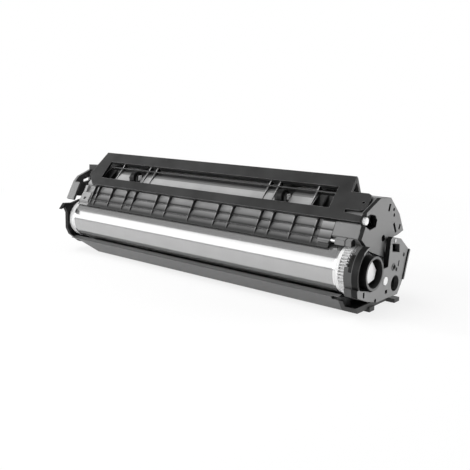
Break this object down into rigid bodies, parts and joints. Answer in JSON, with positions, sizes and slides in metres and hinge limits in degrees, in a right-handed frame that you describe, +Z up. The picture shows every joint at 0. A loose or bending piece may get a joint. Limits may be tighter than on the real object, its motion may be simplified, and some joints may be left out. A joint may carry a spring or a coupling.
{
  "type": "laser printer toner cartridge",
  "caption": "Long toner cartridge with a bare photoconductor drum along the front, a ribbed panel, a window frame above it and a round drive collar at one end.",
  "frame": {"origin": "centre of the drive collar's outer face, on the drum's axis", "axes": "+X along the drum's axis towards the drive end, +Z up as the cartridge stands on its runners, -Y to the front where the drum lies bare"},
  "size_m": [0.2874, 0.0678, 0.0792],
  "materials": {
    "grey_plastic": "moulded satin",
    "light_grey_plastic": "moulded satin",
    "dark_plastic": "moulded satin",
    "black_plastic": "moulded satin",
    "white_plastic": "natural",
    "drum_coating": "coated, glossy",
    "sleeve_metal": "bead blasted",
    "steel": "plated",
    "rubber": "smooth",
    "film": "clear film",
    "foam": "felt"
  },
  "bodies": {
    "cartridge": {"cap_locating_pin": "white_plastic", "charge_bearing_drive": "black_plastic", "charge_bearing_idle": "black_plastic", "cleaning_blade": "rubber", "cleaning_blade_bracket": "steel", "developer_bearing_drive": "white_plastic", "developer_bearing_idle": "white_plastic", "developer_magnet": "black_plastic", "doctor_blade": "steel", "doctor_blade_bracket": "steel", "drive_end_cap": "light_grey_plastic", "drive_side_cover": "light_grey_plastic", "drum_axle_pin": "steel", "drum_seal_drive": "foam", "drum_seal_idle": "foam", "end_cap_screws": "steel", "fill_plug": "black_plastic", "guide_wheel_axles": "steel", "idle_end_cap": "black_plastic", "idle_side_cover": "light_grey_plastic", "socket_pin": "white_plastic", "stub_shaft": "steel", "toner_frame": "grey_plastic", "toner_frame_cover": "grey_plastic", "unit_pins": "steel", "waste_bin": "light_grey_plastic", "waste_bin_lid": "grey_plastic", "window_frame": "dark_plastic"},
    "drum": {"drum_tube": "drum_coating", "drum_drive_flange": "white_plastic", "drum_idle_flange": "white_plastic"},
    "developer_roller": {"developer_sleeve": "sleeve_metal", "developer_gear": "white_plastic"},
    "agitator": {"agitator_shaft": "white_plastic", "agitator_film": "film", "agitator_gear": "white_plastic"},
    "charge_roller": {"charge_roller_core": "steel", "charge_roller_sleeve": "rubber"},
    "wheel_left": {"guide_wheel_left": "dark_plastic"},
    "wheel_right": {"guide_wheel_right": "dark_plastic"}
  },
  "joints": [
    {"name": "drum_spin", "type": "hinge", "parent": "cartridge", "child": "drum", "pos_m": [-0.14, 0, 0], "axis": [1, 0, 0], "continuous": true},
    {"name": "developer_spin", "type": "hinge", "parent": "cartridge", "child": "developer_roller", "pos_m": [-0.14, 0.02068, -0.00835], "axis": [1, 0, 0], "continuous": true},
    {"name": "agitator_spin", "type": "hinge", "parent": "cartridge", "child": "agitator", "pos_m": [-0.14, 0.03206, 0.0012], "axis": [1, 0, 0], "continuous": true},
    {"name": "charge_roller_spin", "type": "hinge", "parent": "cartridge", "child": "charge_roller", "pos_m": [-0.14, 0.00627, 0.01931], "axis": [1, 0, 0], "continuous": true},
    {"name": "wheel_left_spin", "type": "hinge", "parent": "cartridge", "child": "wheel_left", "pos_m": [-0.14, 0.009, 0.0376], "axis": [1, 0, 0], "continuous": true},
    {"name": "wheel_right_spin", "type": "hinge", "parent": "cartridge", "child": "wheel_right", "pos_m": [-0.14, 0.009, 0.0376], "axis": [1, 0, 0], "continuous": true}
  ],
  "couplings": [
    {"joint": "developer_spin", "follows": "drum_spin", "ratio": -2},
    {"joint": "agitator_spin", "follows": "drum_spin", "ratio": 2},
    {"joint": "charge_roller_spin", "follows": "drum_spin", "ratio": -3}
  ]
}
